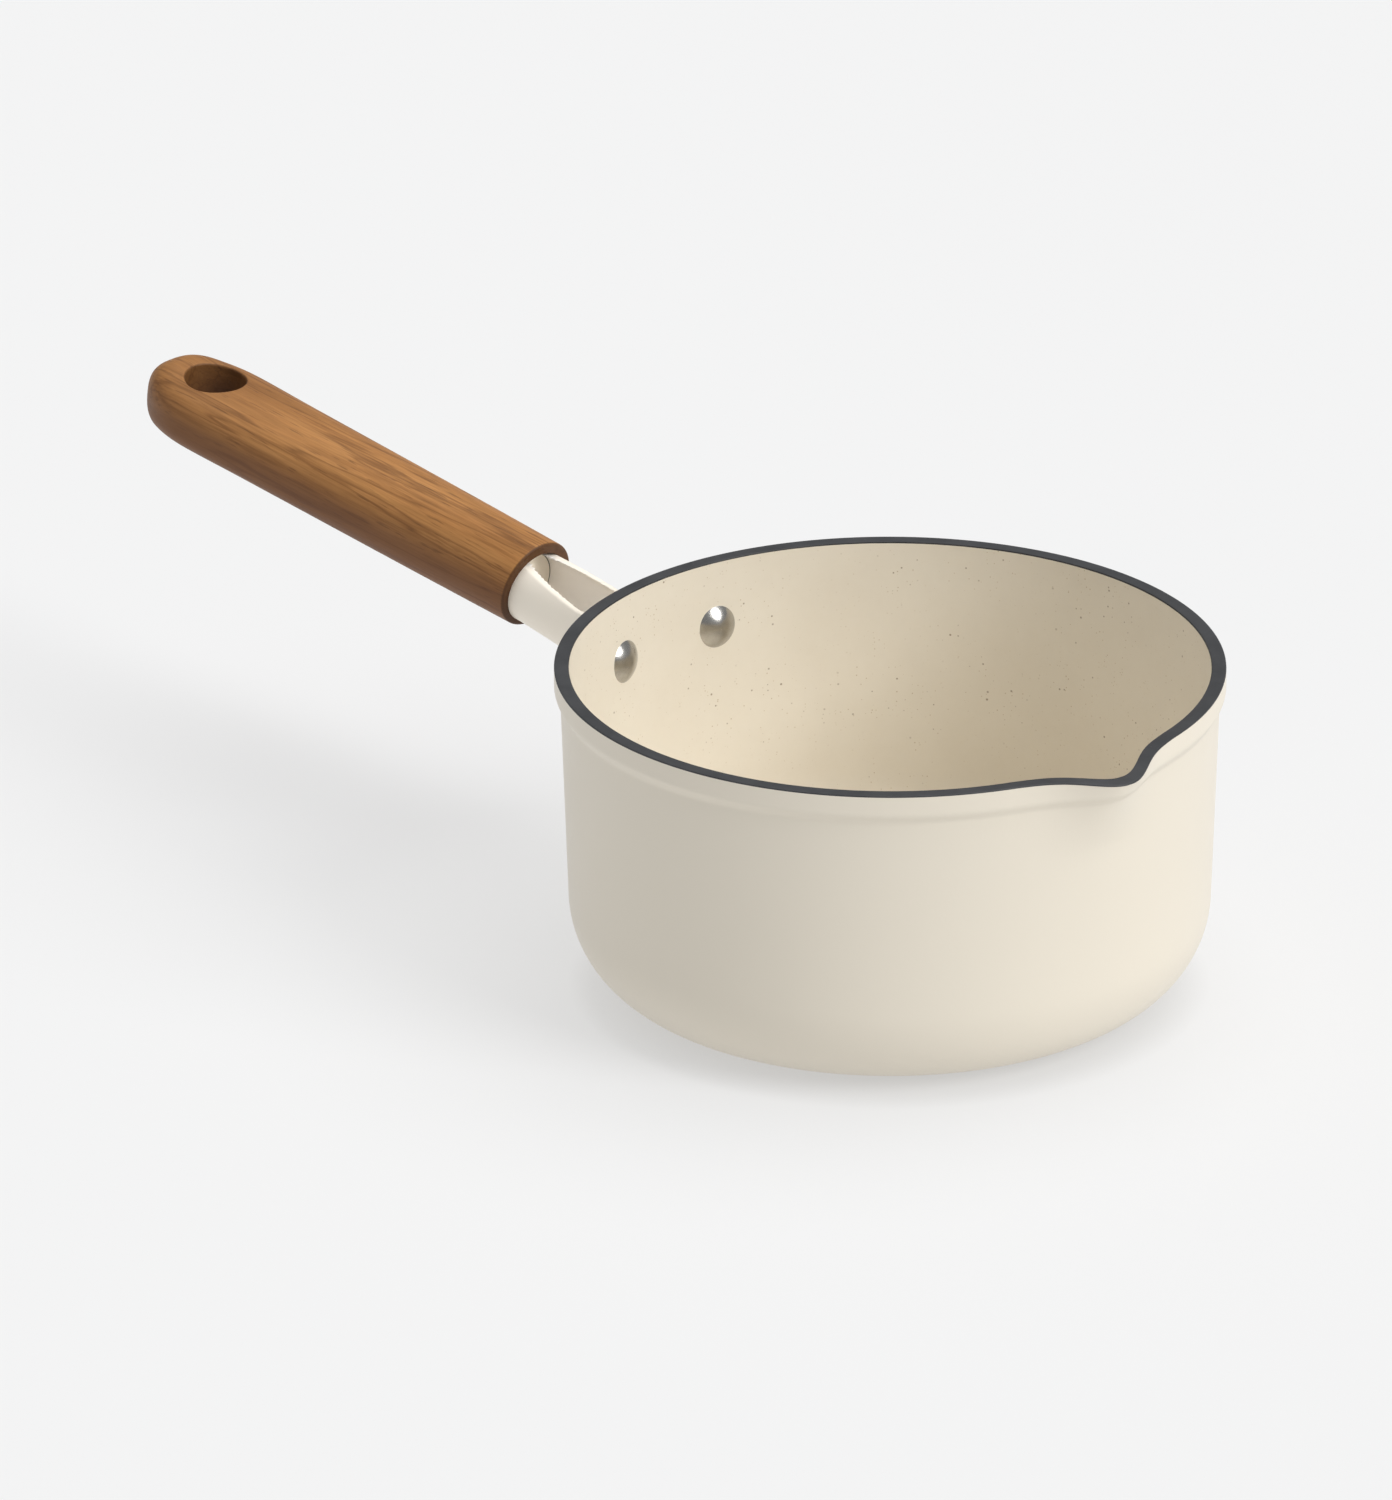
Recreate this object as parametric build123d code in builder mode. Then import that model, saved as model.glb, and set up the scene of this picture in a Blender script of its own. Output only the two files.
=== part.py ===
"""Saucepan: coated aluminium pan with a pouring spout, a riveted steel bracket and a wooden handle.

Millimetres, +Z up. The origin is the centre of the base, on the surface that the pan stands on.
The handle runs towards -X and rises a little. The pouring spout is near +X.
"""

import os
from math import cos, exp, pi, radians, sin, tan

from build123d import *

# Pan, measured outside the coating
RIM_RADIUS = 94.2
HEIGHT = 96.3
BASE_RADIUS = 89.1  # where the tapered wall would meet the base
WALL_TOP_RADIUS = 92.4  # just below the lip
LIP_FACE = 5.5  # height of the upright face of the lip
LIP_HEIGHT = 9.5  # down to where the lip has run out into the wall
WALL = 2.75
FLOOR = 3.4  # top of the floor inside
CORNER = 28.0  # outside radius between wall and base

# Layers on the aluminium
COAT = 0.4
BAND = 0.4  # thickness of the dark rim band

# Pouring spout
SPOUT_ANGLE = -5.0  # degrees from +X
SPOUT_REACH = 11.3  # beyond the rim circle
SPOUT_SPREAD = 7.3  # degrees off the tip where the reach has dropped to 1/e
SPOUT_SHARPNESS = 1.65
SPOUT_ROUND = 0.8  # degrees, rounds the very tip
SPOUT_HALF = 18.0  # degrees, where the spout has run out into the rim circle
SPOUT_DEPTH = 26.0  # how far down the wall it fades out
SPOUT_FADE = 1.3  # exponent of that fading
SPOUT_STEPS = 24  # spans of the curve drawn round it
SPOUT_DIP = 10.0  # degrees that the lip slopes down along the spout
DIP_BEND = 60.0  # radius that leads into that slope

# Induction disc let into the base
DISC_RADIUS = 60.0
DISC = 1.2
DISC_PROUD = 0.4

# Handle line: it lies in the XZ plane and passes through the centre of the wood's end face
HANDLE_START = 140.3  # from the pan's axis
HANDLE_DROP = 17.6  # below the rim
HANDLE_RISE = 6.7  # degrees

# Wooden handle: round at the pan end, wider and flatter towards the tip
WOOD_LENGTH = 155.3
WOOD_RADIUS = 13.1  # at the pan end
WOOD_END_LEAN = 2.8  # the end face's lowest point is this far out from its top
WOOD_EDGE = 0.8
PADDLE_AT = 140.0  # from the wood's end face, where it is widest and flattest
PADDLE_HALF = (17.2, 9.7)  # half width and half height there
PADDLE_SQUARENESS = 2.8  # exponent of its superellipse section, 2 being an ellipse
TIP_ROUND = (27.5, 9.0)  # how far back the tip's rounding starts, in width and in height
HANG_HOLE = 8.8  # radius
HANG_HOLE_AT = 133.5  # from the wood's end face
HANG_EDGE = 0.6
OUTLINE_STEPS = 32  # spans of the curve round each section
GRIP_SPANS = 9  # even spans from the end face to the first section of the tip
TIP_ANGLES = (90, 75, 60, 45, 30, 15, 3)  # along the tip's quarter ellipse

# Bracket
SHEET = 1.6
TUBE_RADIUS = 10.7
TUBE_LOW = 0.8  # middle of the tube below the middle of the wood
TUBE_IN_WOOD = 11.0
PLATE_AT = 5.0  # end plate's face towards the pan, inside the wood
FIT = 0.05  # all-round gap between fitted pieces
WAIST_AT = 23.0  # from the wood towards the pan
WAIST_HALF = (10.8, 12.6)  # half width and half height there
FOOT_HALF = (11.6, 15.0)  # the same at the pan wall
WING_AT_WOOD = 8.3  # top edges of the trough above the handle line, at the end plate
WING_AT_WAIST = 5.2  # and from the waist on
WING_BEND = 40.0  # radius between the two
FLANGE_WIDTH = 58.0
FLANGE_HEIGHT = 24.0
FLANGE_DROP = 22.3  # middle of the flange below the rim
FLANGE_CORNER = 9.0

# Fasteners
RIVET_DROP = 19.7  # below the rim
RIVET_ANGLE = 11.7  # degrees each side of the handle
RIVET_SHANK = 2.5
RIVET_HEAD = 6.15
RIVET_DOME = 2.6
TAIL_HEAD = 4.6
TAIL_DOME = 1.8
SCREW_RADIUS = 2.0
SCREW_HEAD = 3.2
SCREW_HEAD_HEIGHT = 1.6
SCREW_LENGTH = 55.0
SCREW_POINT = 6.0

DOME_SHARE = 0.72  # height of a rivet's dome half way out from its middle
LIP_DEPTHS = [0, 3, LIP_FACE, 6.5, 7.5, 8.5, LIP_HEIGHT, 13, 17, 21, SPOUT_DEPTH]
wall_lean = (WALL_TOP_RADIUS - BASE_RADIUS) / (HEIGHT - LIP_HEIGHT)
handle_dir = Vector(-cos(radians(HANDLE_RISE)), 0, sin(radians(HANDLE_RISE)))
handle_up = Vector(sin(radians(HANDLE_RISE)), 0, cos(radians(HANDLE_RISE)))
handle_foot = Vector(-HANDLE_START, 0, HEIGHT - HANDLE_DROP)
along_handle = Plane(origin=handle_foot, x_dir=handle_dir, z_dir=(0, 1, 0))
spout_dir = Vector(cos(radians(SPOUT_ANGLE)), sin(radians(SPOUT_ANGLE)), 0)


def wall_radius(z):
    """Outside radius of the plain tapered wall at height z."""
    return BASE_RADIUS + wall_lean * z


def lip_radius(depth):
    """Outside radius at a depth below the rim, where the wall swells into the lip."""
    share = min(max((LIP_HEIGHT - depth) / (LIP_HEIGHT - LIP_FACE), 0), 1)
    swell = (1 - cos(pi * share)) / 2
    plain = wall_radius(HEIGHT - depth)
    return plain + (RIM_RADIUS - plain) * swell


def spout_reach(angle, depth):
    """How far the spout stands out of the round pan, angle degrees off its tip."""
    off = (angle**2 + SPOUT_ROUND**2) ** 0.5 - SPOUT_ROUND
    edge = (SPOUT_HALF**2 + SPOUT_ROUND**2) ** 0.5 - SPOUT_ROUND
    fall = exp(-((off / SPOUT_SPREAD) ** SPOUT_SHARPNESS))
    floor = exp(-((edge / SPOUT_SPREAD) ** SPOUT_SHARPNESS))
    fade = max(1 - depth / SPOUT_DEPTH, 0) ** SPOUT_FADE
    return SPOUT_REACH * fade * (fall - floor) / (1 - floor)


def level(z):
    """Horizontal plane at height z, its x along the spout."""
    return Plane(origin=(0, 0, z), x_dir=spout_dir, z_dir=(0, 0, 1))


def ring_outline(radius, depth):
    """Plan outline of the pan at a depth below the rim, on a level plane: an arc and the spout."""
    CenterArc((0, 0), radius, SPOUT_HALF, 360 - 2 * SPOUT_HALF)
    if depth >= SPOUT_DEPTH:
        CenterArc((0, 0), radius, -SPOUT_HALF, 2 * SPOUT_HALF)
        return
    angles = [SPOUT_HALF * (2 * i / SPOUT_STEPS - 1) for i in range(SPOUT_STEPS + 1)]
    reaches = [(a, radius + spout_reach(a, depth)) for a in angles]
    points = [(r * cos(radians(a)), r * sin(radians(a))) for a, r in reaches]
    start, end = radians(-SPOUT_HALF), radians(SPOUT_HALF)
    Spline(*points, tangents=[(-sin(start), cos(start)), (-sin(end), cos(end))])


def filled_pan(inset, floor, lip):
    """The pan as if filled solid up to the rim, its skin set in by inset, on a flat floor."""
    top_of_round = HEIGHT - SPOUT_DEPTH
    with BuildPart() as filled:
        with BuildSketch(Plane.XZ):
            with BuildLine():
                Polyline(
                    (0, floor),
                    (wall_radius(floor) - inset, floor),
                    (wall_radius(top_of_round) - inset, top_of_round),
                    (0, top_of_round),
                    close=True,
                )
            make_face()
            corner = vertices().group_by(Axis.Y)[0].sort_by(Axis.X)[-1]
            fillet(corner, CORNER - inset)
        revolve(axis=Axis.Z)
        for depth in LIP_DEPTHS:
            radius = lip_radius(depth) if lip else wall_radius(HEIGHT - depth)
            with BuildSketch(level(HEIGHT - depth)):
                with BuildLine():
                    ring_outline(radius - inset, depth)
                make_face()
        loft(ruled=True)
    return filled.part


def above_rim(drop):
    """Everything above a surface drop below the rim: level, then sloping down along the spout."""
    reach = 2 * RIM_RADIUS
    slope_drop = (reach - RIM_RADIUS) * tan(radians(SPOUT_DIP))
    side_view = Plane(origin=(0, 0, 0), x_dir=spout_dir, z_dir=spout_dir.cross(Vector(0, 0, 1)))
    with BuildPart() as above:
        with BuildSketch(side_view):
            with BuildLine():
                FilletPolyline(
                    (-reach, HEIGHT - drop),
                    (RIM_RADIUS, HEIGHT - drop),
                    (reach, HEIGHT - drop - slope_drop),
                    radius=DIP_BEND,
                )
                Polyline(
                    (reach, HEIGHT - drop - slope_drop),
                    (reach, HEIGHT + reach),
                    (-reach, HEIGHT + reach),
                    (-reach, HEIGHT - drop),
                )
            make_face()
        extrude(amount=reach, both=True)
    return above.part


def across_handle(distance):
    """Plane square to the handle line, distance out from the wood's end face; its x is world Y."""
    return Plane(origin=handle_foot + handle_dir * distance, x_dir=(0, 1, 0), z_dir=handle_dir)


def across_tube(distance):
    """The same plane with its middle on the tube's own line, which runs a little lower."""
    middle = handle_foot + handle_dir * distance - handle_up * TUBE_LOW
    return Plane(origin=middle, x_dir=(0, 1, 0), z_dir=handle_dir)


def rivet_plane(side):
    """Plane on the outside of the plain wall at a rivet, facing outwards."""
    angle = radians(180 - side * RIVET_ANGLE)
    z = HEIGHT - RIVET_DROP
    foot = Vector(wall_radius(z) * cos(angle), wall_radius(z) * sin(angle), z)
    out = Vector(cos(angle), sin(angle), -wall_lean)
    return Plane(origin=foot, x_dir=(-sin(angle), cos(angle), 0), z_dir=out)


outside = filled_pan(0, DISC_PROUD, True)
metal_outside = filled_pan(COAT, DISC_PROUD + COAT, True)
metal_inside = filled_pan(WALL - COAT, FLOOR - COAT, False)
inside = filled_pan(WALL, FLOOR, False)
over_rim = above_rim(0)
over_metal = above_rim(BAND)


with BuildPart() as rivet_holes:
    for side in (-1, 1):
        with BuildSketch(rivet_plane(side)):
            Circle(RIVET_SHANK + FIT)
    extrude(amount=4 * WALL, both=True)

with BuildPart() as disc_recess:
    with BuildSketch(Plane.XY):
        Circle(DISC_RADIUS + FIT)
    extrude(amount=DISC)

with BuildPart() as pan_body:
    add(metal_outside)
    add(metal_inside, mode=Mode.SUBTRACT)
    add(over_metal, mode=Mode.SUBTRACT)
    add(rivet_holes.part, mode=Mode.SUBTRACT)
    add(disc_recess.part, mode=Mode.SUBTRACT)

with BuildPart() as exterior_coating:
    add(outside)
    add(metal_outside, mode=Mode.SUBTRACT)
    add(over_metal, mode=Mode.SUBTRACT)
    add(rivet_holes.part, mode=Mode.SUBTRACT)
    add(disc_recess.part, mode=Mode.SUBTRACT)

with BuildPart() as ceramic_lining:
    add(metal_inside)
    add(inside, mode=Mode.SUBTRACT)
    add(over_metal, mode=Mode.SUBTRACT)
    add(rivet_holes.part, mode=Mode.SUBTRACT)

with BuildPart() as rim_band:
    add(outside)
    add(inside, mode=Mode.SUBTRACT)
    add(over_metal, mode=Mode.INTERSECT)
    add(over_rim, mode=Mode.SUBTRACT)

with BuildPart() as base_disc:
    with BuildSketch(Plane.XY):
        Circle(DISC_RADIUS)
    extrude(amount=DISC)
    chamfer(edges().group_by(Axis.Z)[0], DISC_PROUD / 2)

# The trough between wood and pan starts as the round tube and grows deeper towards the wall.
foot_at = (HANDLE_START - wall_radius(HEIGHT) + 2 * WALL) / cos(radians(HANDLE_RISE))


def trough(inset):
    """Solid trough from inside the wood to inside the pan wall, set in by inset."""
    sections = (
        (TUBE_IN_WOOD, TUBE_RADIUS, TUBE_RADIUS),
        (0, TUBE_RADIUS, TUBE_RADIUS),
        (-WAIST_AT, *WAIST_HALF),
        (-foot_at, *FOOT_HALF),
    )
    with BuildPart() as body:
        for distance, half_width, half_height in sections:
            with BuildSketch(across_tube(distance)):
                Ellipse(half_width - inset, half_height - inset)
        loft(ruled=True)
    return body.part


trough_outside = trough(0)
trough_inside = trough(SHEET)

with BuildPart() as above_wings:
    with BuildSketch(along_handle):
        with BuildLine():
            FilletPolyline(
                (PLATE_AT, WING_AT_WOOD),
                (-WAIST_AT, WING_AT_WAIST),
                (-foot_at, WING_AT_WAIST),
                radius=WING_BEND,
            )
            Polyline(
                (-foot_at, WING_AT_WAIST),
                (-foot_at, 2 * TUBE_RADIUS),
                (PLATE_AT, 2 * TUBE_RADIUS),
                (PLATE_AT, WING_AT_WOOD),
            )
        make_face()
    extrude(amount=2 * TUBE_RADIUS, both=True)

with BuildPart() as wall_clearance:
    with BuildSketch(Plane.XZ):
        with BuildLine():
            Polyline(
                (0, 0),
                (wall_radius(0) + FIT, 0),
                (wall_radius(HEIGHT) + FIT, HEIGHT),
                (0, HEIGHT),
                close=True,
            )
        make_face()
    revolve(axis=Axis.Z)

with BuildPart() as flange:
    flange_low = HEIGHT - FLANGE_DROP - FLANGE_HEIGHT / 2
    flange_high = flange_low + FLANGE_HEIGHT
    with BuildSketch(Plane.XZ):
        with BuildLine():
            Polyline(
                (wall_radius(flange_low) - WALL, flange_low),
                (wall_radius(flange_low) + FIT + SHEET, flange_low),
                (wall_radius(flange_high) + FIT + SHEET, flange_high),
                (wall_radius(flange_high) - WALL, flange_high),
                close=True,
            )
        make_face()
    revolve(axis=Axis.Z)
    flange_middle = (0, 0, HEIGHT - FLANGE_DROP)
    with BuildSketch(Plane(origin=flange_middle, x_dir=(0, -1, 0), z_dir=(-1, 0, 0))):
        RectangleRounded(FLANGE_WIDTH, FLANGE_HEIGHT - FIT, FLANGE_CORNER)
    extrude(amount=2 * RIM_RADIUS, mode=Mode.INTERSECT)

with BuildPart() as handle_bracket:
    add(trough_outside)
    add(above_wings.part, mode=Mode.SUBTRACT)
    add(flange.part)
    add(trough_inside, mode=Mode.SUBTRACT)
    add(wall_clearance.part, mode=Mode.SUBTRACT)
    add(rivet_holes.part, mode=Mode.SUBTRACT)

# The end plate closes the tube just inside the wood and takes the pull of the screw.
with BuildPart() as bracket_end_plate:
    with BuildSketch(across_tube(PLATE_AT)):
        Circle(TUBE_RADIUS - SHEET)
        Circle(SCREW_RADIUS + FIT, mode=Mode.SUBTRACT)
    extrude(amount=SHEET)

with BuildPart() as handle_screw:
    with BuildSketch(across_tube(PLATE_AT)):
        Circle(SCREW_HEAD)
    extrude(amount=-SCREW_HEAD_HEIGHT)
    fillet(edges().sort_by(Axis.X)[-1], SCREW_HEAD_HEIGHT / 2)
    with BuildSketch(across_tube(PLATE_AT)):
        Circle(SCREW_RADIUS)
    extrude(amount=SCREW_LENGTH)
    chamfer(edges().sort_by(Axis.X)[0], SCREW_POINT, SCREW_RADIUS - FIT)


def rounding(share):
    """Share of the full size at a share of the way back from the tip, on a quarter ellipse."""
    return (1 - (1 - min(share, 1)) ** 2) ** 0.5


def wood_outline(distance):
    """Outline of the wood at a distance from its end face: a circle that turns superelliptic."""
    share = min(distance / PADDLE_AT, 1)
    change = share**2 * (3 - 2 * share)
    half_width = WOOD_RADIUS + (PADDLE_HALF[0] - WOOD_RADIUS) * share
    half_height = WOOD_RADIUS + (PADDLE_HALF[1] - WOOD_RADIUS) * change
    power = 2 + (PADDLE_SQUARENESS - 2) * change
    half_width *= rounding((WOOD_LENGTH - distance) / TIP_ROUND[0])
    half_height *= rounding((WOOD_LENGTH - distance) / TIP_ROUND[1])
    points = []
    for step in range(OUTLINE_STEPS):
        c, s = cos(2 * pi * step / OUTLINE_STEPS), sin(2 * pi * step / OUTLINE_STEPS)
        scale = (abs(c) ** power + abs(s) ** power) ** (-1 / power)
        points.append((half_width * scale * c, half_height * scale * s))
    Spline(*points, periodic=True)


with BuildPart() as wooden_handle:
    tip_start = WOOD_LENGTH - TIP_ROUND[0]
    grip = [tip_start * step / GRIP_SPANS for step in range(GRIP_SPANS)]
    tip = [WOOD_LENGTH - TIP_ROUND[0] * (1 - cos(radians(a))) for a in TIP_ANGLES]
    for distance in grip + tip:
        with BuildSketch(across_handle(distance)):
            with BuildLine():
                wood_outline(distance)
            make_face()
    loft()
    with BuildSketch(along_handle):
        with BuildLine():
            Polyline(
                (0, WOOD_RADIUS),
                (WOOD_END_LEAN, -WOOD_RADIUS),
                (WOOD_END_LEAN, -2 * WOOD_RADIUS),
                (-WOOD_END_LEAN, -2 * WOOD_RADIUS),
                (-WOOD_END_LEAN, WOOD_RADIUS),
                close=True,
            )
        make_face()
    extrude(amount=2 * WOOD_RADIUS, both=True, mode=Mode.SUBTRACT)
    fillet(faces().sort_by(Axis.X)[-1].edges(), WOOD_EDGE)
    with BuildSketch(across_tube(0)):
        Circle(TUBE_RADIUS + FIT)
    extrude(amount=TUBE_IN_WOOD, mode=Mode.SUBTRACT)
    with BuildSketch(across_tube(0)):
        Circle(SCREW_RADIUS)
    extrude(amount=PLATE_AT + SCREW_LENGTH, mode=Mode.SUBTRACT)
    sides = edges()
    hole_middle = handle_foot + handle_dir * HANG_HOLE_AT
    with BuildSketch(Plane(origin=hole_middle, x_dir=(0, 1, 0), z_dir=handle_up)):
        Circle(HANG_HOLE)
    extrude(amount=2 * WOOD_RADIUS, both=True, mode=Mode.SUBTRACT)
    fillet(edges() - sides, HANG_EDGE)


def rivet(side):
    """Rivet through pan wall and flange: domed head inside the pan, flatter tail on the flange."""
    outward = rivet_plane(side)
    section = Plane(origin=outward.origin, x_dir=outward.z_dir, z_dir=outward.x_dir)
    seat = FIT + SHEET
    with BuildPart() as made:
        with BuildSketch(section):
            with BuildLine():
                ThreePointArc(
                    (-WALL - RIVET_DOME, 0),
                    (-WALL - DOME_SHARE * RIVET_DOME, RIVET_HEAD / 2),
                    (-WALL, RIVET_HEAD),
                )
                Polyline((-WALL, RIVET_HEAD), (0, RIVET_HEAD), (0, 0), (-WALL - RIVET_DOME, 0))
            make_face()
        revolve(axis=Axis(outward.origin, outward.z_dir))
        add(inside, mode=Mode.INTERSECT)
        with BuildSketch(section):
            with BuildLine():
                ThreePointArc(
                    (seat + TAIL_DOME, 0),
                    (seat + DOME_SHARE * TAIL_DOME, TAIL_HEAD / 2),
                    (seat, TAIL_HEAD),
                )
                Polyline(
                    (seat, TAIL_HEAD),
                    (seat, RIVET_SHANK),
                    (-WALL - RIVET_DOME / 2, RIVET_SHANK),
                    (-WALL - RIVET_DOME / 2, 0),
                    (seat + TAIL_DOME, 0),
                )
            make_face()
        revolve(axis=Axis(outward.origin, outward.z_dir))
    return made


rivet_left = rivet(1)
rivet_right = rivet(-1)

finished = {
    "pan_body": pan_body,
    "exterior_coating": exterior_coating,
    "ceramic_lining": ceramic_lining,
    "rim_band": rim_band,
    "base_disc": base_disc,
    "handle_bracket": handle_bracket,
    "bracket_end_plate": bracket_end_plate,
    "rivet_left": rivet_left,
    "rivet_right": rivet_right,
    "handle_screw": handle_screw,
    "wooden_handle": wooden_handle,
}
os.makedirs("parts", exist_ok=True)
for name, piece in finished.items():
    piece.part.label = name
    export_step(piece.part, f"parts/{name}.step")
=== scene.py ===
import math

import bmesh
import bpy
import numpy as np
from mathutils import Matrix, Vector


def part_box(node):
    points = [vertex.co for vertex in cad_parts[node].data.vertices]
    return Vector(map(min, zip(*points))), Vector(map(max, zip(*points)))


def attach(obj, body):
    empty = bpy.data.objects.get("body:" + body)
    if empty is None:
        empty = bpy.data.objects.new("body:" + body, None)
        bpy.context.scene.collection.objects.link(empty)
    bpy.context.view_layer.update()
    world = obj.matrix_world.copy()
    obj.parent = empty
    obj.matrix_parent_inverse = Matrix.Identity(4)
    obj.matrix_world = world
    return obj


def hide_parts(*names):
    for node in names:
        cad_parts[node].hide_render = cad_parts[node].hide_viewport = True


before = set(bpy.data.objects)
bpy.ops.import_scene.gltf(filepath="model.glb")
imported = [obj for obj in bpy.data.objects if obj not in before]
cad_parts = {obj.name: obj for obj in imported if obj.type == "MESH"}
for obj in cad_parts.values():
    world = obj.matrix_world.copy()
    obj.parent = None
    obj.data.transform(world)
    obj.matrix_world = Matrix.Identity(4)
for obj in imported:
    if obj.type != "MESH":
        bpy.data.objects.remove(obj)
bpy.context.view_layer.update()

MM = 0.001

# ---- The pan's shape, in metres, as in the CAD source -------------------------------------------
WALL = 2.75 * MM
COAT = 0.4 * MM
BAND = 0.4 * MM
RIM_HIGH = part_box("rim_band")[1]
HEIGHT = RIM_HIGH.z
RIM_RADIUS = RIM_HIGH.y
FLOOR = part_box("ceramic_lining")[0].z + COAT
DISC_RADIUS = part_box("base_disc")[1].y
DISC_PROUD = 0.4 * MM
BASE_RADIUS = 89.1 * MM
WALL_TOP_RADIUS = 92.4 * MM
LIP_FACE = 5.5 * MM
LIP_HEIGHT = 9.5 * MM
CORNER = 28 * MM

# The spout; its angle, spread, round and half are in degrees round the pan
SPOUT_ANGLE = -5.0
SPOUT_REACH = 11.3 * MM
SPOUT_SPREAD = 7.3
SPOUT_SHARPNESS = 1.65
SPOUT_ROUND = 0.8
SPOUT_HALF = 18.0
SPOUT_DEPTH = 26 * MM
SPOUT_FADE = 1.3
SPOUT_DIP = math.radians(10)
DIP_BEND = 60 * MM
WALL_LEAN = (WALL_TOP_RADIUS - BASE_RADIUS) / (HEIGHT - LIP_HEIGHT)

# The handle's line, which starts at the wood's end face and rises by so many degrees, and what
# is cut into the wood
HANDLE_START = 140.3 * MM
HANDLE_DROP = 17.6 * MM
HANDLE_RISE = 6.7
WOOD_RADIUS = 13.1 * MM
WOOD_END_LEAN = 2.8 * MM
TUBE_RADIUS = 10.7 * MM
TUBE_LOW = 0.8 * MM
SHEET = 1.6 * MM
HANG_HOLE = 8.8 * MM
HANG_HOLE_AT = 133.5 * MM

# Angles round the pan off the spout's tip, closer together where the spout curves
ANGLES = np.radians(np.concatenate([
    np.arange(-20, -4, 0.5), np.arange(-4, 4, 0.2), np.arange(4, 20, 0.5), np.arange(20, 340, 2.0)]))

# Depths below the rim of the rings down the lip and the spout, closer together at the lip's step
TOP_LEVELS = np.array([
    0.4, 1.0, 1.7, 2.4, 3.2, 4, 4.8, 5.3, 5.8, 6.2, 6.6, 7, 7.4, 7.8, 8.2, 8.6, 9, 9.4, 9.8,
    10.4, 11.2, 12.2, 13.4, 14.8, 16.4, 18.2, 20, 22, 24, 26]) * MM

# Rings down the plain wall, round the corner and across the floor
WALL_RINGS = 14
CORNER_RINGS = 26
FLOOR_RINGS = 10

# Rounding of the rim band's top edges, and points in each rounding
BAND_EDGE = 0.3 * MM
BAND_EDGE_POINTS = 7

# Gap round the base disc, and radius of the lining's last ring before its pole
DISC_GAP = 0.05 * MM
LAST_RING = 4 * MM

# Rounds in which a ring's depth and its reach into the spout are settled
SETTLING_ROUNDS = 3

# Faces that meet at more than this angle keep a crisp edge
CRISP_DEGREES = 38


def wall_radius(z):
    return BASE_RADIUS + WALL_LEAN * z


def lip_radius(depth):
    share = np.clip((LIP_HEIGHT - depth) / (LIP_HEIGHT - LIP_FACE), 0, 1)
    plain = wall_radius(HEIGHT - depth)
    return plain + (RIM_RADIUS - plain) * (1 - np.cos(np.pi * share)) / 2


def spout_reach(depth):
    """How far the spout stands out of the round pan at each of ANGLES."""
    degrees = np.abs((np.degrees(ANGLES) + 180) % 360 - 180)

    def fall(angle):
        off = np.sqrt(angle**2 + SPOUT_ROUND**2) - SPOUT_ROUND
        return np.exp(-((off / SPOUT_SPREAD) ** SPOUT_SHARPNESS))

    floor = fall(SPOUT_HALF)
    fade = np.maximum(1 - depth / SPOUT_DEPTH, 0) ** SPOUT_FADE
    return np.where(degrees < SPOUT_HALF, SPOUT_REACH * fade * (fall(degrees) - floor) / (1 - floor), 0)


def dip(radius):
    """Drop of the rim at each of ANGLES, level at first and then sloping down along the spout."""
    bend_start = RIM_RADIUS - DIP_BEND * math.tan(SPOUT_DIP / 2)
    bend_end = bend_start + DIP_BEND * math.sin(SPOUT_DIP)
    out = radius * np.cos(ANGLES)
    along = np.clip(out - bend_start, 0, bend_end - bend_start)
    arc = DIP_BEND - np.sqrt(DIP_BEND**2 - along**2)
    return arc + np.maximum(out - bend_end, 0) * math.tan(SPOUT_DIP)


def around(radius, height):
    """Ring of points at each of ANGLES."""
    turned = ANGLES + math.radians(SPOUT_ANGLE)
    return np.stack([radius * np.cos(turned), radius * np.sin(turned), height + 0 * ANGLES], -1)


def skin_ring(level, inset, lip):
    """Ring on the pan's skin, level below the rim, bending down with the rim where the spout dips."""
    depth = level + 0 * ANGLES
    for _ in range(SETTLING_ROUNDS):
        radius = (lip_radius(depth) if lip else wall_radius(HEIGHT - depth)) + spout_reach(depth) - inset
        depth = level + dip(radius) * max(1 - level / SPOUT_DEPTH, 0)
    return around(radius, HEIGHT - depth)


def low_rings(inset, floor, inner):
    """Rings from the foot of the spout down the plain wall, round the corner and in to a radius."""
    corner = CORNER - inset
    slope = math.hypot(1, WALL_LEAN)
    middle_z = floor + corner
    middle_r = BASE_RADIUS - inset + WALL_LEAN * middle_z - corner * slope
    wall_foot = middle_z - corner * WALL_LEAN / slope
    rings = []
    for z in np.linspace(HEIGHT - SPOUT_DEPTH, wall_foot, WALL_RINGS)[1:-1]:
        rings.append(around(wall_radius(z) - inset, z))
    for turn in np.linspace(-math.atan(WALL_LEAN), -math.pi / 2, CORNER_RINGS):
        rings.append(around(middle_r + corner * math.cos(turn), middle_z + corner * math.sin(turn)))
    for radius in np.linspace(middle_r, inner, FLOOR_RINGS)[1:]:
        rings.append(around(radius, floor))
    return rings


def add_mesh(name, verts, faces):
    mesh = bpy.data.meshes.new(name)
    mesh.from_pydata(verts, [], faces)
    work = bmesh.new()
    work.from_mesh(mesh)
    bmesh.ops.recalc_face_normals(work, faces=work.faces)
    work.to_mesh(mesh)
    work.free()
    mesh.polygons.foreach_set("use_smooth", [True] * len(mesh.polygons))
    mesh.set_sharp_from_angle(angle=math.radians(CRISP_DEGREES))
    piece = bpy.data.objects.new(name, mesh)
    bpy.context.scene.collection.objects.link(piece)
    return piece


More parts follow.
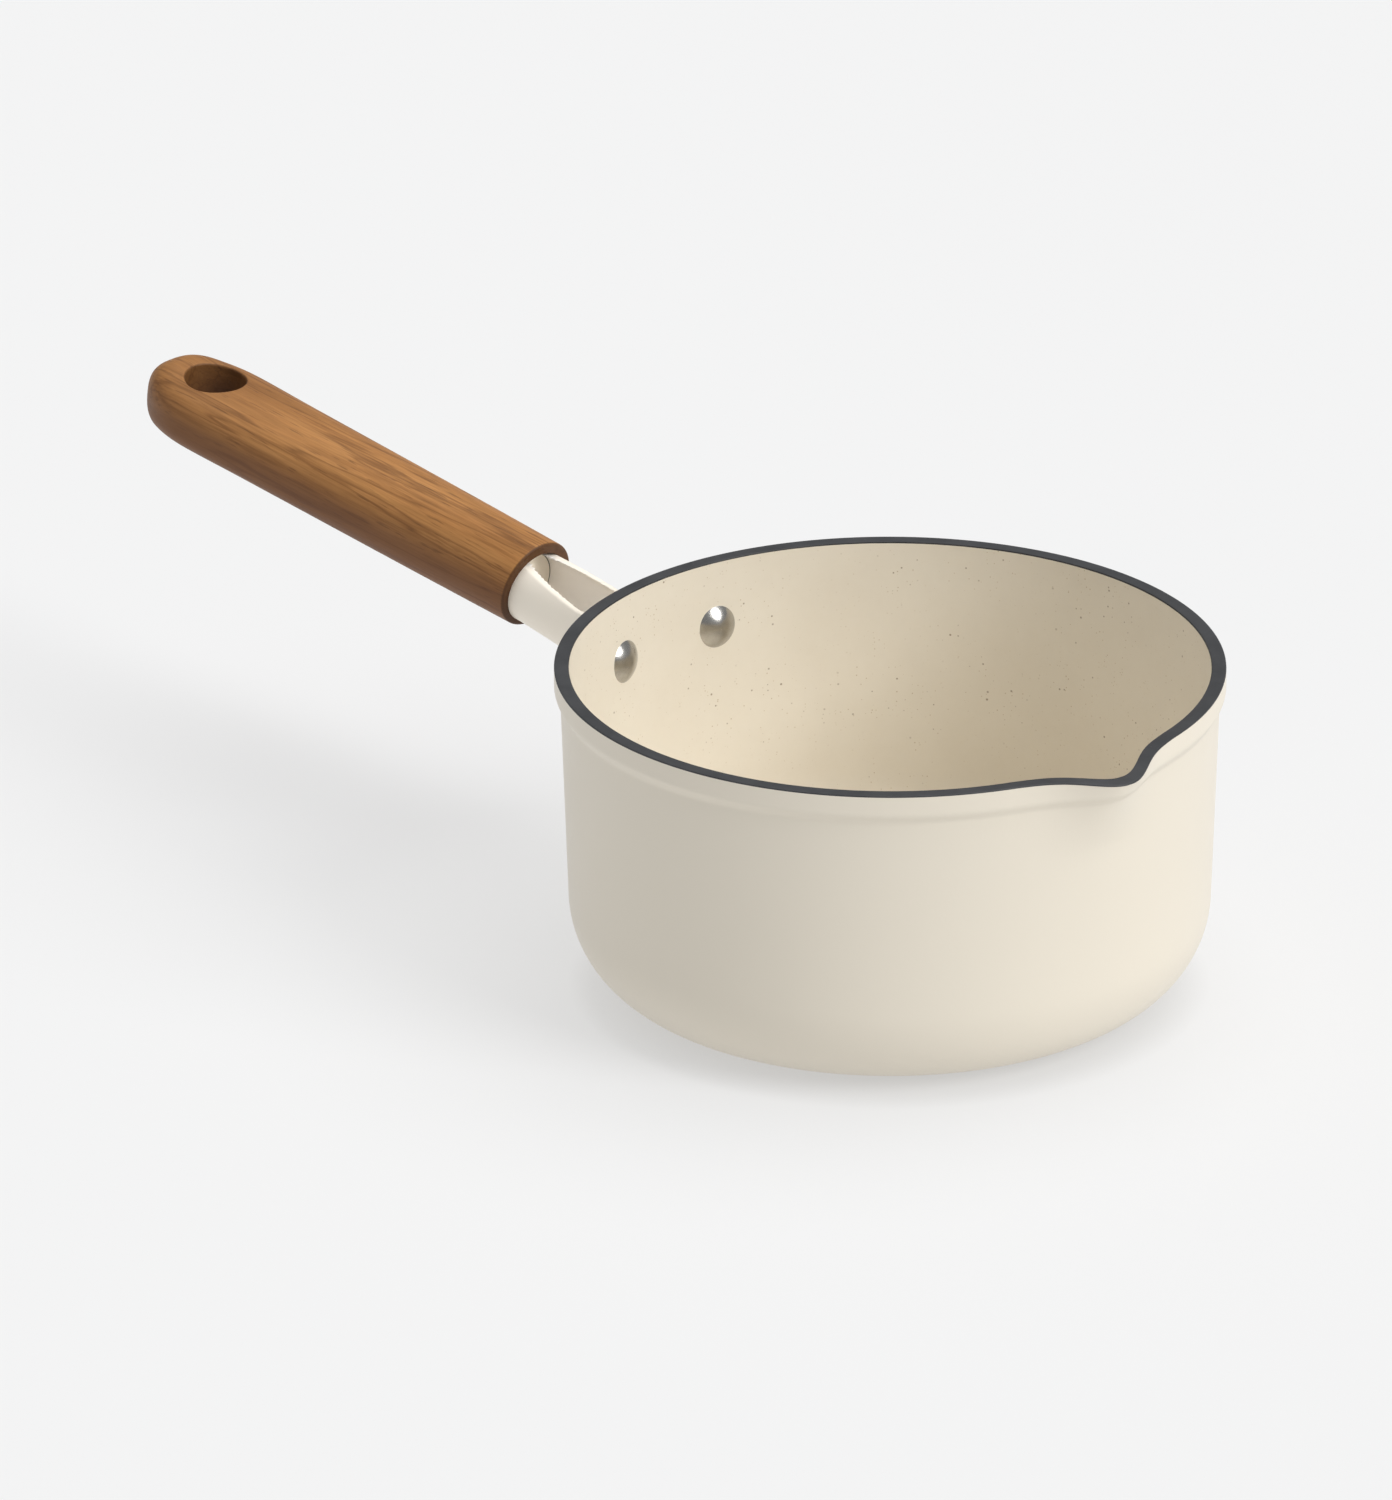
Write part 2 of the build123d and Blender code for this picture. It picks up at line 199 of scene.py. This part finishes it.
def swept(name, rings, poles=()):
    """Closed skin over a loop of rings, or over a run of rings that ends in two poles."""
    count = len(rings[0])
    verts = [tuple(point) for ring in rings for point in ring]
    last = len(rings) if not poles else len(rings) - 1
    faces = []
    for i in range(last):
        here, there = i * count, ((i + 1) % len(rings)) * count
        for j in range(count):
            k = (j + 1) % count
            faces.append((here + j, here + k, there + k, there + j))
    for pole, ring in zip(poles, (0, len(rings) - 1)):
        verts.append(pole)
        for j in range(count):
            faces.append((len(verts) - 1, ring * count + j, ring * count + (j + 1) % count))
    return add_mesh(name, verts, faces)


def make_coating():
    bore = DISC_RADIUS + DISC_GAP
    outer = [skin_ring(level, 0, True) for level in TOP_LEVELS]
    outer += low_rings(0, DISC_PROUD, bore)
    inner = [skin_ring(level, COAT, True) for level in TOP_LEVELS]
    inner += low_rings(COAT, DISC_PROUD + COAT, bore)
    return swept("exterior_enamel", outer + inner[::-1])


def make_lining():
    inner = [skin_ring(level, WALL, False) for level in TOP_LEVELS]
    inner += low_rings(WALL, FLOOR, LAST_RING)
    outer = [skin_ring(level, WALL - COAT, False) for level in TOP_LEVELS]
    outer += low_rings(WALL - COAT, FLOOR - COAT, LAST_RING)
    return swept("ceramic_interior", inner[::-1] + outer, ((0, 0, FLOOR), (0, 0, FLOOR - COAT)))


def make_band():
    """Rim band: flat on top with rounded edges, as wide as the wall and the lip together."""
    reach = spout_reach(dip(RIM_RADIUS + spout_reach(0 * ANGLES)))
    outer = RIM_RADIUS + reach
    inner = wall_radius(HEIGHT) - WALL + reach
    low = -0.5 * (BAND + BAND_EDGE)
    rounding = [(BAND_EDGE * (1 - math.cos(turn)), -BAND_EDGE * (1 - math.sin(turn)))
                for turn in np.radians(np.linspace(0, 90, BAND_EDGE_POINTS))]
    # Each point: share of the way from outer to inner, shift outwards, height off the rim
    section = [(0, 0, -BAND), (0, 0, low)]
    section += [(0, -shift, height) for shift, height in rounding]
    section += [(share, 0, 0.0) for share in (0.3, 0.5, 0.7)]
    section += [(1, shift, height) for shift, height in rounding[::-1]]
    section += [(1, 0, low), (1, 0, -BAND)]
    rings = []
    for share, shift, height in section:
        radius = outer + (inner - outer) * share + shift
        rings.append(around(radius, HEIGHT - dip(radius) + height))
    return swept("charcoal_rim", rings)


# ---- Materials ------------------------------------------------------------------------------------
# Noise scales are per metre, colours are linear, and bump distances are in metres.
# Height up to which the enamel is rubbed, pitch of the wood's growth bands, where the socket in
# the wood ends along the handle, and pitch of the turning marks in steel
RUB_HEIGHT = 9 * MM
BAND_PITCH = 3.1 * MM
SOCKET_END = 14 * MM
TURNING_PITCH = 0.6 * MM


class Paint:
    """A material's node tree, with short calls for its nodes."""

    def __init__(self, name):
        self.material = bpy.data.materials.new(name)
        self.material.use_nodes = True
        self.tree = self.material.node_tree
        self.shader = self.tree.nodes["Principled BSDF"]
        coordinates = self.tree.nodes.new("ShaderNodeTexCoord").outputs
        self.place = coordinates["Object"]
        self.facing = coordinates["Normal"]

    def node(self, kind, **inputs):
        """New node of a kind, its inputs fed by name."""
        made = self.tree.nodes.new("ShaderNode" + kind)
        for name, value in inputs.items():
            self.feed(made.inputs[name], value)
        return made

    def feed(self, socket, value):
        """Link a socket to another one, or set its value."""
        if isinstance(value, bpy.types.NodeSocket):
            self.tree.links.new(value, socket)
        elif isinstance(value, tuple) and len(value) == 3 and socket.type == "RGBA":
            socket.default_value = (*value, 1)
        else:
            socket.default_value = value

    def math(self, operation, a, b=0.0, clamp=False):
        made = self.tree.nodes.new("ShaderNodeMath")
        made.operation = operation
        made.use_clamp = clamp
        self.feed(made.inputs[0], a)
        self.feed(made.inputs[1], b)
        return made.outputs[0]

    def vector(self, operation, a, b=(0, 0, 0), output="Vector"):
        made = self.tree.nodes.new("ShaderNodeVectorMath")
        made.operation = operation
        self.feed(made.inputs[0], a)
        self.feed(made.inputs[1], b)
        return made.outputs[output]

    def noise(self, scale, detail=3.0, roughness=0.5, place=None, stretch=None):
        place = place or self.place
        if stretch:
            place = self.vector("MULTIPLY", place, stretch)
        made = self.node("TexNoise", Vector=place, Scale=scale, Detail=detail, Roughness=roughness)
        return made.outputs["Fac"]

    def ramp(self, value, stops):
        """Colours or greys at stops along a value from 0 to 1."""
        made = self.node("ValToRGB", Fac=value)
        while len(made.color_ramp.elements) < len(stops):
            made.color_ramp.elements.new(0.5)
        for element, (at, colour) in zip(made.color_ramp.elements, stops):
            element.position = at
            element.color = (*colour, 1) if isinstance(colour, tuple) else (colour, colour, colour, 1)
        return made.outputs["Color"]

    def mix(self, share, a, b):
        """Colour a with a share of colour b."""
        made = self.tree.nodes.new("ShaderNodeMix")
        made.data_type = "RGBA"
        self.feed(made.inputs[0], share)
        self.feed(made.inputs[6], a)
        self.feed(made.inputs[7], b)
        return made.outputs[2]

    def spread(self, value, low, high):
        """value from 0..1 taken to low..high"""
        made = self.node("MapRange", **{"Value": value, "To Min": low, "To Max": high})
        return made.outputs["Result"]

    def fall(self, value, start, end):
        """1 below start, 0 above end"""
        limits = {"From Min": start, "From Max": end, "To Min": 1.0, "To Max": 0.0}
        made = self.node("MapRange", Value=value, **limits)
        made.interpolation_type = "SMOOTHSTEP"
        return made.outputs["Result"]

    def away(self, a, b, middle_a=0.0, middle_b=0.0):
        """Distance in the plane of a and b from a middle"""
        a = self.math("SUBTRACT", a, middle_a)
        b = self.math("SUBTRACT", b, middle_b)
        return self.math("SQRT", self.math("ADD", self.math("MULTIPLY", a, a), self.math("MULTIPLY", b, b)))

    def bump(self, height, distance, strength=1.0, normal=None):
        made = self.node("Bump", Height=height, Distance=distance, Strength=strength)
        if normal:
            self.feed(made.inputs["Normal"], normal)
        return made.outputs["Normal"]

    def finish(self, colour, roughness, normal, metallic=0.0, specular=0.5):
        self.feed(self.shader.inputs["Base Color"], colour)
        self.feed(self.shader.inputs["Roughness"], roughness)
        self.shader.inputs["Metallic"].default_value = metallic
        self.shader.inputs["Specular IOR Level"].default_value = specular
        self.feed(self.shader.inputs["Normal"], normal)
        return self.material


def cream_enamel(name, colour, detail=None):
    """Satin cream coating: faint orange peel, slow shade changes and a little rub near the base."""
    p = Paint(name)
    darker = tuple(part * 0.975 for part in colour)
    lighter = tuple(min(part * 1.02, 1) for part in colour)
    shade = p.mix(p.noise(14, 4), darker, lighter)
    height = p.node("SeparateXYZ", Vector=p.place).outputs["Z"]
    low = p.math("SUBTRACT", 1.0, p.math("DIVIDE", height, RUB_HEIGHT), clamp=True)
    rub = p.math("MULTIPLY", low, p.math("GREATER_THAN", p.noise(420, 4, 0.7), 0.66))
    shade = p.mix(p.math("MULTIPLY", rub, 0.25), shade, (0.48, 0.43, 0.36))
    if detail:
        shade = detail(p, shade)
    peel = p.noise(950, 2)
    fine = p.noise(3800, 2)
    normal = p.bump(peel, 0.05 * MM, 0.35)
    normal = p.bump(fine, 0.01 * MM, 0.3, normal)
    roughness = p.spread(p.noise(60, 4, 0.6), 0.33, 0.47)
    return p.finish(shade, roughness, normal, specular=0.5)


def painted_trough_light(p, shade):
    """Painted light: paler, greyer cream inside the bracket's U-shaped channel, lifting the shade that
    falls there.
    """
    _, across, up = handle_axes(p)
    middle = p.away(across, up, 0.0, -TUBE_LOW)
    inside = p.fall(middle, TUBE_RADIUS - 0.9 * SHEET, TUBE_RADIUS - 0.4 * SHEET)
    return p.mix(inside, shade, (0.975, 0.935, 0.88))


def painted_seam_shadow(p, shade):
    """Painted shadow: dark band at the end plate's edge, where the gap to the tube lies in shade."""
    _, across, up = handle_axes(p)
    middle = p.away(across, up, 0.0, -TUBE_LOW)
    edge = TUBE_RADIUS - SHEET
    plate = p.fall(middle, edge - 0.45 * MM, edge - 0.2 * MM)
    return p.mix(plate, (0.10, 0.085, 0.065), shade)


def speckled_ceramic():
    """Beige lining with brown specks in loose clusters over a faintly mottled ground."""
    p = Paint("speckled_beige_ceramic")
    ground = p.ramp(p.noise(26, 5, 0.6),
                    [(0.3, (0.780, 0.716, 0.602)), (0.7, (0.820, 0.760, 0.648))])
    ground = p.mix(p.math("MULTIPLY", p.noise(300, 3, 0.6), 0.10), ground, (0.62, 0.52, 0.36))
    cluster = p.ramp(p.noise(48, 3, 0.55), [(0.44, 0.0), (0.58, 1.0)])

    def specks(scale, size, share, shift):
        """Round dots up to size across in a share of the cells of a pattern moved by shift."""
        moved = p.vector("ADD", p.place, (shift, shift * 1.7, shift * 0.6))
        cells = p.node("TexVoronoi", Vector=moved, Scale=scale, Randomness=1.0)
        chance = p.node("SeparateColor", Color=cells.outputs["Color"]).outputs
        own = p.math("ADD", p.math("MULTIPLY", chance[1], size), 0.02)
        dot = p.ramp(p.math("DIVIDE", cells.outputs["Distance"], own), [(0.55, 1.0), (1.0, 0.0)])
        return p.math("MULTIPLY", dot, p.math("LESS_THAN", chance[0], share))

    large = p.math("MULTIPLY", specks(620, 0.25, 0.22, 0.3), cluster)
    small = p.math("MULTIPLY", specks(980, 0.24, 0.48, 1.1), p.spread(cluster, 0.25, 1))
    shade = p.mix(p.math("MULTIPLY", small, 0.60), ground, (0.40, 0.27, 0.11))
    shade = p.mix(p.math("MULTIPLY", large, 0.72), shade, (0.20, 0.12, 0.05))
    normal = p.bump(p.noise(700, 3), 0.04 * MM, 0.3)
    normal = p.bump(p.noise(120, 3), 0.10 * MM, 0.25, normal)
    return p.finish(shade, p.spread(p.noise(45, 4, 0.6), 0.36, 0.5), normal, specular=0.45)


def charcoal_band():
    """Dark satin rim with cloudy sheen and a few rubbed flecks; painted shade makes it darkest on its inner
    edge.
    """
    p = Paint("charcoal_rim_satin")
    base = p.ramp(p.noise(90, 5, 0.65),
                  [(0.3, (0.026, 0.027, 0.0295)), (0.7, (0.046, 0.047, 0.0505))])
    flecks = p.math("GREATER_THAN", p.noise(900, 4, 0.7), 0.70)
    shade = p.mix(p.math("MULTIPLY", flecks, 0.25), base, (0.20, 0.195, 0.185))
    # Facing times place, less its upright part, is negative where the face looks at the pan's axis
    outwards = p.vector("DOT_PRODUCT", p.facing, p.place, "Value")
    upright = p.node("SeparateXYZ", Vector=p.facing).outputs["Z"]
    outwards = p.math("SUBTRACT", outwards, p.math("MULTIPLY", upright, HEIGHT))
    # Painted shade on the faces that look at the pan's axis
    inner = p.fall(outwards, -0.06, -0.01)
    shade = p.mix(p.math("MULTIPLY", inner, 0.5), shade, (0.006, 0.006, 0.007))
    normal = p.bump(p.noise(1400, 3), 0.03 * MM, 0.35)
    return p.finish(shade, p.spread(p.noise(160, 4, 0.6), 0.34, 0.50), normal, specular=0.38)


def handle_axes(p):
    """How far along the handle, across it and up from its middle line."""
    rise = math.radians(HANDLE_RISE)
    foot = Vector((-HANDLE_START, 0, HEIGHT - HANDLE_DROP))
    axes = ((-math.cos(rise), 0, math.sin(rise)), (0, 1, 0), (math.sin(rise), 0, math.cos(rise)))
    return [p.math("SUBTRACT", p.vector("DOT_PRODUCT", p.place, axis, "Value"), Vector(axis).dot(foot))
            for axis in axes]


def oiled_wood():
    """Brown hardwood with its grain along the handle: growth bands, fibres, pores and darker figure."""
    p = Paint("oiled_brown_wood")
    along, across, up = handle_axes(p)
    place = p.node("CombineXYZ", X=along, Y=across, Z=up).outputs[0]
    wander = p.noise(1, 3, 0.5, place, (9, 42, 42))
    bands = p.math("ADD", p.math("MULTIPLY", across, 0.55), p.math("MULTIPLY", up, 0.84))
    bands = p.math("ADD", bands, p.math("MULTIPLY", wander, 9 * MM))
    wave = p.math("SINE", p.math("MULTIPLY", bands, 2 * math.pi / BAND_PITCH))
    band = p.ramp(p.math("MULTIPLY", p.math("ADD", wave, 1.0), 0.5),
                  [(0.0, 0.0), (0.55, 0.35), (0.88, 1.0), (1.0, 0.25)])
    figure = p.noise(1, 4, 0.55, place, (11, 95, 95))
    streak = p.noise(1, 4, 0.6, place, (22, 420, 420))
    fibre = p.noise(1, 3, 0.6, place, (60, 1700, 1700))
    vein = p.ramp(p.noise(1, 3, 0.55, place, (8, 150, 150)),
                  [(0.465, 0.0), (0.497, 1.0), (0.503, 1.0), (0.535, 0.0)])
    pores = p.ramp(p.noise(1, 2, 0.5, place, (95, 1500, 1500)), [(0.62, 0.0), (0.70, 1.0)])
    tone = p.ramp(figure, [(0.22, (0.275, 0.108, 0.026)), (0.45, (0.420, 0.180, 0.052)),
                           (0.62, (0.510, 0.235, 0.074)), (0.82, (0.590, 0.288, 0.100))])
    shade = p.mix(p.math("MULTIPLY", band, 0.34), tone, (0.200, 0.078, 0.016))
    shade = p.mix(p.spread(streak, 0.0, 0.5), shade, (0.530, 0.262, 0.078))
    dark_streak = p.ramp(streak, [(0.30, 1.0), (0.46, 0.0)])
    shade = p.mix(p.math("MULTIPLY", dark_streak, 0.42), shade, (0.165, 0.062, 0.012))
    shade = p.mix(p.math("MULTIPLY", vein, 0.6), shade, (0.150, 0.055, 0.012))
    dark_fibre = p.ramp(fibre, [(0.35, 1.0), (0.6, 0.0)])
    shade = p.mix(p.math("MULTIPLY", dark_fibre, 0.28), shade, (0.14, 0.055, 0.012))
    shade = p.mix(p.math("MULTIPLY", pores, 0.45), shade, (0.070, 0.026, 0.008))
    # Painted shade darkens the wood towards its lower side; the wood also darkens towards its tip
    under = p.fall(up, -2 * MM, 11.5 * MM)
    shade = p.mix(p.math("MULTIPLY", under, 0.76), shade, (0.122, 0.042, 0.012))
    tip = p.math("SUBTRACT", 1.0, p.fall(along, 88 * MM, 136 * MM))
    shade = p.mix(p.math("MULTIPLY", tip, 0.26), shade, (0.150, 0.058, 0.016))
    # The face towards the pan is darker as end grain; the socket and the hanging hole are darker partly as
    # end grain and partly as painted shade in these recesses
    lean = p.math("MULTIPLY", p.math("SUBTRACT", WOOD_RADIUS, up), WOOD_END_LEAN / (2 * WOOD_RADIUS))
    end = p.fall(p.math("SUBTRACT", along, lean), 0.25 * MM, 0.8 * MM)
    bore = p.away(across, up, 0.0, -TUBE_LOW)
    socket = p.math("MULTIPLY", p.fall(bore, TUBE_RADIUS + 0.3 * MM, TUBE_RADIUS + 0.8 * MM),
                    p.fall(along, SOCKET_END, SOCKET_END + 1 * MM))
    hole = p.fall(p.away(along, across, HANG_HOLE_AT), HANG_HOLE + 0.1 * MM, HANG_HOLE + 0.5 * MM)
    cut = p.math("MAXIMUM", p.math("MAXIMUM", end, socket), p.math("MULTIPLY", hole, 0.62))
    shade = p.mix(p.math("MULTIPLY", cut, 0.86), shade, (0.062, 0.024, 0.008))
    normal = p.bump(p.math("SUBTRACT", p.math("MULTIPLY", fibre, 0.5), pores), 0.06 * MM, 0.4)
    normal = p.bump(streak, 0.08 * MM, 0.3, normal)
    roughness = p.spread(p.noise(1, 3, 0.6, place, (30, 300, 300)), 0.42, 0.62)
    return p.finish(shade, roughness, normal, specular=0.28)


def satin_rivet():
    """Brushed aluminium: cloudy reflections with fine scratches."""
    p = Paint("satin_rivet_metal")
    shade = p.ramp(p.noise(260, 4, 0.6), [(0.3, (0.43, 0.418, 0.396)), (0.7, (0.54, 0.526, 0.50))])
    scratch = p.noise(1, 3, 0.6, None, (900, 6000, 900))
    normal = p.bump(scratch, 0.012 * MM, 0.5)
    return p.finish(shade, p.spread(p.noise(500, 4, 0.6), 0.19, 0.27), normal, metallic=1.0)


def spun_steel(name):
    """Steel turned on a lathe: fine rings round Z and slight staining."""
    p = Paint(name)
    away = p.vector("LENGTH", p.vector("MULTIPLY", p.place, (1, 1, 0)), output="Value")
    rings = p.math("SINE", p.math("MULTIPLY", away, 2 * math.pi / TURNING_PITCH))
    shade = p.ramp(p.noise(40, 5, 0.65), [(0.3, (0.50, 0.495, 0.485)), (0.7, (0.60, 0.595, 0.585))])
    normal = p.bump(rings, 0.02 * MM, 0.5)
    return p.finish(shade, p.spread(p.noise(200, 3), 0.26, 0.40), normal, metallic=1.0)


def bare_aluminium():
    """Pressed aluminium under the coatings."""
    p = Paint("pressed_aluminium")
    shade = p.ramp(p.noise(80, 4), [(0.3, (0.62, 0.62, 0.63)), (0.7, (0.74, 0.74, 0.75))])
    normal = p.bump(p.noise(900, 2), 0.02 * MM, 0.4)
    return p.finish(shade, p.spread(p.noise(300, 4), 0.35, 0.5), normal, metallic=1.0)


CREAM = (0.775, 0.712, 0.60)
ENAMEL = cream_enamel("cream_enamel", CREAM)
BRACKET_CREAM = (0.95, 0.875, 0.755)
# The bracket's enamel carries painted light inside its channel.
BRACKET_PAINT = cream_enamel("cream_bracket_enamel", BRACKET_CREAM, painted_trough_light)
FINISHES = {
    "pan_body": bare_aluminium(),
    "exterior_coating": ENAMEL,
    "ceramic_lining": speckled_ceramic(),
    "rim_band": charcoal_band(),
    "base_disc": spun_steel("spun_steel_disc"),
    "handle_bracket": BRACKET_PAINT,
    # The end plate's enamel carries a painted shadow along its seam with the tube.
    "bracket_end_plate": cream_enamel("cream_plate_enamel", BRACKET_CREAM, painted_seam_shadow),
    "rivet_left": satin_rivet(),
    "rivet_right": satin_rivet(),
    "handle_screw": spun_steel("screw_steel_grey"),
    "wooden_handle": oiled_wood(),
}
for node, finish in FINISHES.items():
    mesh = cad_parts[node].data
    mesh.materials.clear()
    mesh.materials.append(finish)


# ---- Pieces made here -------------------------------------------------------------------------------
def stand_for(piece, node):
    """The new piece rides on the body, takes the node's finish and stands for it."""
    piece.data.materials.append(FINISHES[node])
    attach(piece, "root")
    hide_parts(node)


def softened(node, name, voxel, rounds):
    """Copy of a CAD node's skin, remeshed evenly and smoothed, so that its sheet edges are rounded."""
    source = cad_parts[node]
    piece = bpy.data.objects.new(name, source.data.copy())
    piece.data.materials.clear()
    bpy.context.scene.collection.objects.link(piece)
    bpy.context.view_layer.objects.active = piece
    weld = piece.modifiers.new("weld", "WELD")
    weld.merge_threshold = 0.002 * MM
    remesh = piece.modifiers.new("remesh", "REMESH")
    remesh.mode = "VOXEL"
    remesh.voxel_size = voxel
    remesh.use_smooth_shade = True
    smooth = piece.modifiers.new("smooth", "SMOOTH")
    smooth.factor = 0.5
    smooth.iterations = rounds
    graph = bpy.context.evaluated_depsgraph_get()
    mesh = bpy.data.meshes.new_from_object(piece.evaluated_get(graph))
    piece.modifiers.clear()
    piece.data = mesh
    mesh.name = name
    mesh.polygons.foreach_set("use_smooth", [True] * len(mesh.polygons))
    return piece


stand_for(make_coating(), "exterior_coating")
stand_for(make_lining(), "ceramic_lining")
stand_for(make_band(), "rim_band")
BRACKET = softened("handle_bracket", "pressed_bracket", voxel=0.4 * MM, rounds=5)
stand_for(BRACKET, "handle_bracket")


# ---- Floor, light and camera ------------------------------------------------------------------------
# The floor's half width, how far it lies under the pan, its glow in the open and in the painted contact
# shadow next to the pan, and how far from the pan the glow starts to fall into that painted shadow
FLOOR_HALF = 6
FLOOR_DROP = 0.05 * MM
GLOW = 0.54
CONTACT_SHADOW_GLOW = 0.44
CONTACT_SHADOW_REACH = 12 * MM


def make_floor():
    """Pale floor that glows a little, with a painted contact shadow: less glow next to the pan."""
    corners = [(x * FLOOR_HALF, y * FLOOR_HALF, -FLOOR_DROP)
               for x, y in ((-1, -1), (1, -1), (1, 1), (-1, 1))]
    mesh = bpy.data.meshes.new("studio_floor")
    mesh.from_pydata(corners, [], [(0, 1, 2, 3)])
    floor = bpy.data.objects.new("studio_floor", mesh)
    bpy.context.scene.collection.objects.link(floor)
    p = Paint("pale_floor")
    shade = p.ramp(p.noise(3, 2), [(0.3, (0.309, 0.309, 0.309)), (0.7, (0.312, 0.312, 0.312))])
    p.shader.inputs["Emission Color"].default_value = (1, 1, 1, 1)
    # Painted contact shadow: the glow falls where the pan covers the floor
    openness = p.node("AmbientOcclusion", Distance=CONTACT_SHADOW_REACH).outputs["AO"]
    p.feed(p.shader.inputs["Emission Strength"], p.spread(openness, CONTACT_SHADOW_GLOW, GLOW))
    mesh.materials.append(p.finish(shade, 0.9, p.bump(p.noise(500, 2), 0.01 * MM, 0.2), specular=0.1))


def add_sun(name, towards, strength, spread):
    """Sun that shines from the direction towards, as soft as a source spread degrees wide."""
    lamp = bpy.data.lights.new(name, "SUN")
    lamp.energy = strength
    lamp.angle = math.radians(spread)
    holder = bpy.data.objects.new(name, lamp)
    bpy.context.scene.collection.objects.link(holder)
    holder.rotation_euler = towards.to_track_quat("Z", "Y").to_euler()


AZIMUTH = math.radians(45.4)
ELEVATION = math.radians(22.886)
RIGHT = Vector((math.cos(AZIMUTH), math.sin(AZIMUTH), 0))
BACK = Vector((math.sin(AZIMUTH) * math.cos(ELEVATION), -math.cos(AZIMUTH) * math.cos(ELEVATION),
               math.sin(ELEVATION)))
UP = BACK.cross(RIGHT)
FRONT = Vector((BACK.x, BACK.y, 0)).normalized()

make_floor()
add_sun("key", RIGHT * 0.25 + Vector((-0.16, 0.14, 1.0)), 1.48, 60)
add_sun("right_fill", RIGHT + FRONT * 0.66 + Vector((0, 0, 0.83)), 1.81, 32)
add_sun("left_fill", -RIGHT + FRONT * 0.05 + Vector((0, 0, 0.75)), 0.27, 60)

world = bpy.data.worlds.new("studio")
world.use_nodes = True
sky = world.node_tree.nodes["Background"]
sky.inputs["Color"].default_value = (0.97, 0.985, 1.0, 1)
sky.inputs["Strength"].default_value = 0.335
bpy.context.scene.world = world

# A long lens far away, aimed so that the pan and its handle are in the middle of the frame; the
# focal length is in pixels of a frame FRAME_PIXELS high, and the sensor in millimetres
DISTANCE = 12.0
AIM_RIGHT = -0.054378
AIM_UP = 0.065062
FRAME_PIXELS = 1500
FOCAL_PIXELS = 42716
SENSOR = 36
camera = bpy.data.objects.new("camera", bpy.data.cameras.new("camera"))
bpy.context.scene.collection.objects.link(camera)
seat = Matrix((RIGHT, UP, BACK)).transposed().to_4x4()
seat.translation = RIGHT * AIM_RIGHT + UP * AIM_UP + BACK * DISTANCE
camera.matrix_world = seat
camera.data.sensor_width = SENSOR
camera.data.lens = FOCAL_PIXELS * SENSOR / FRAME_PIXELS
camera.data.clip_end = DISTANCE + 10
bpy.context.scene.camera = camera
bpy.context.scene.view_settings.view_transform = "Standard"
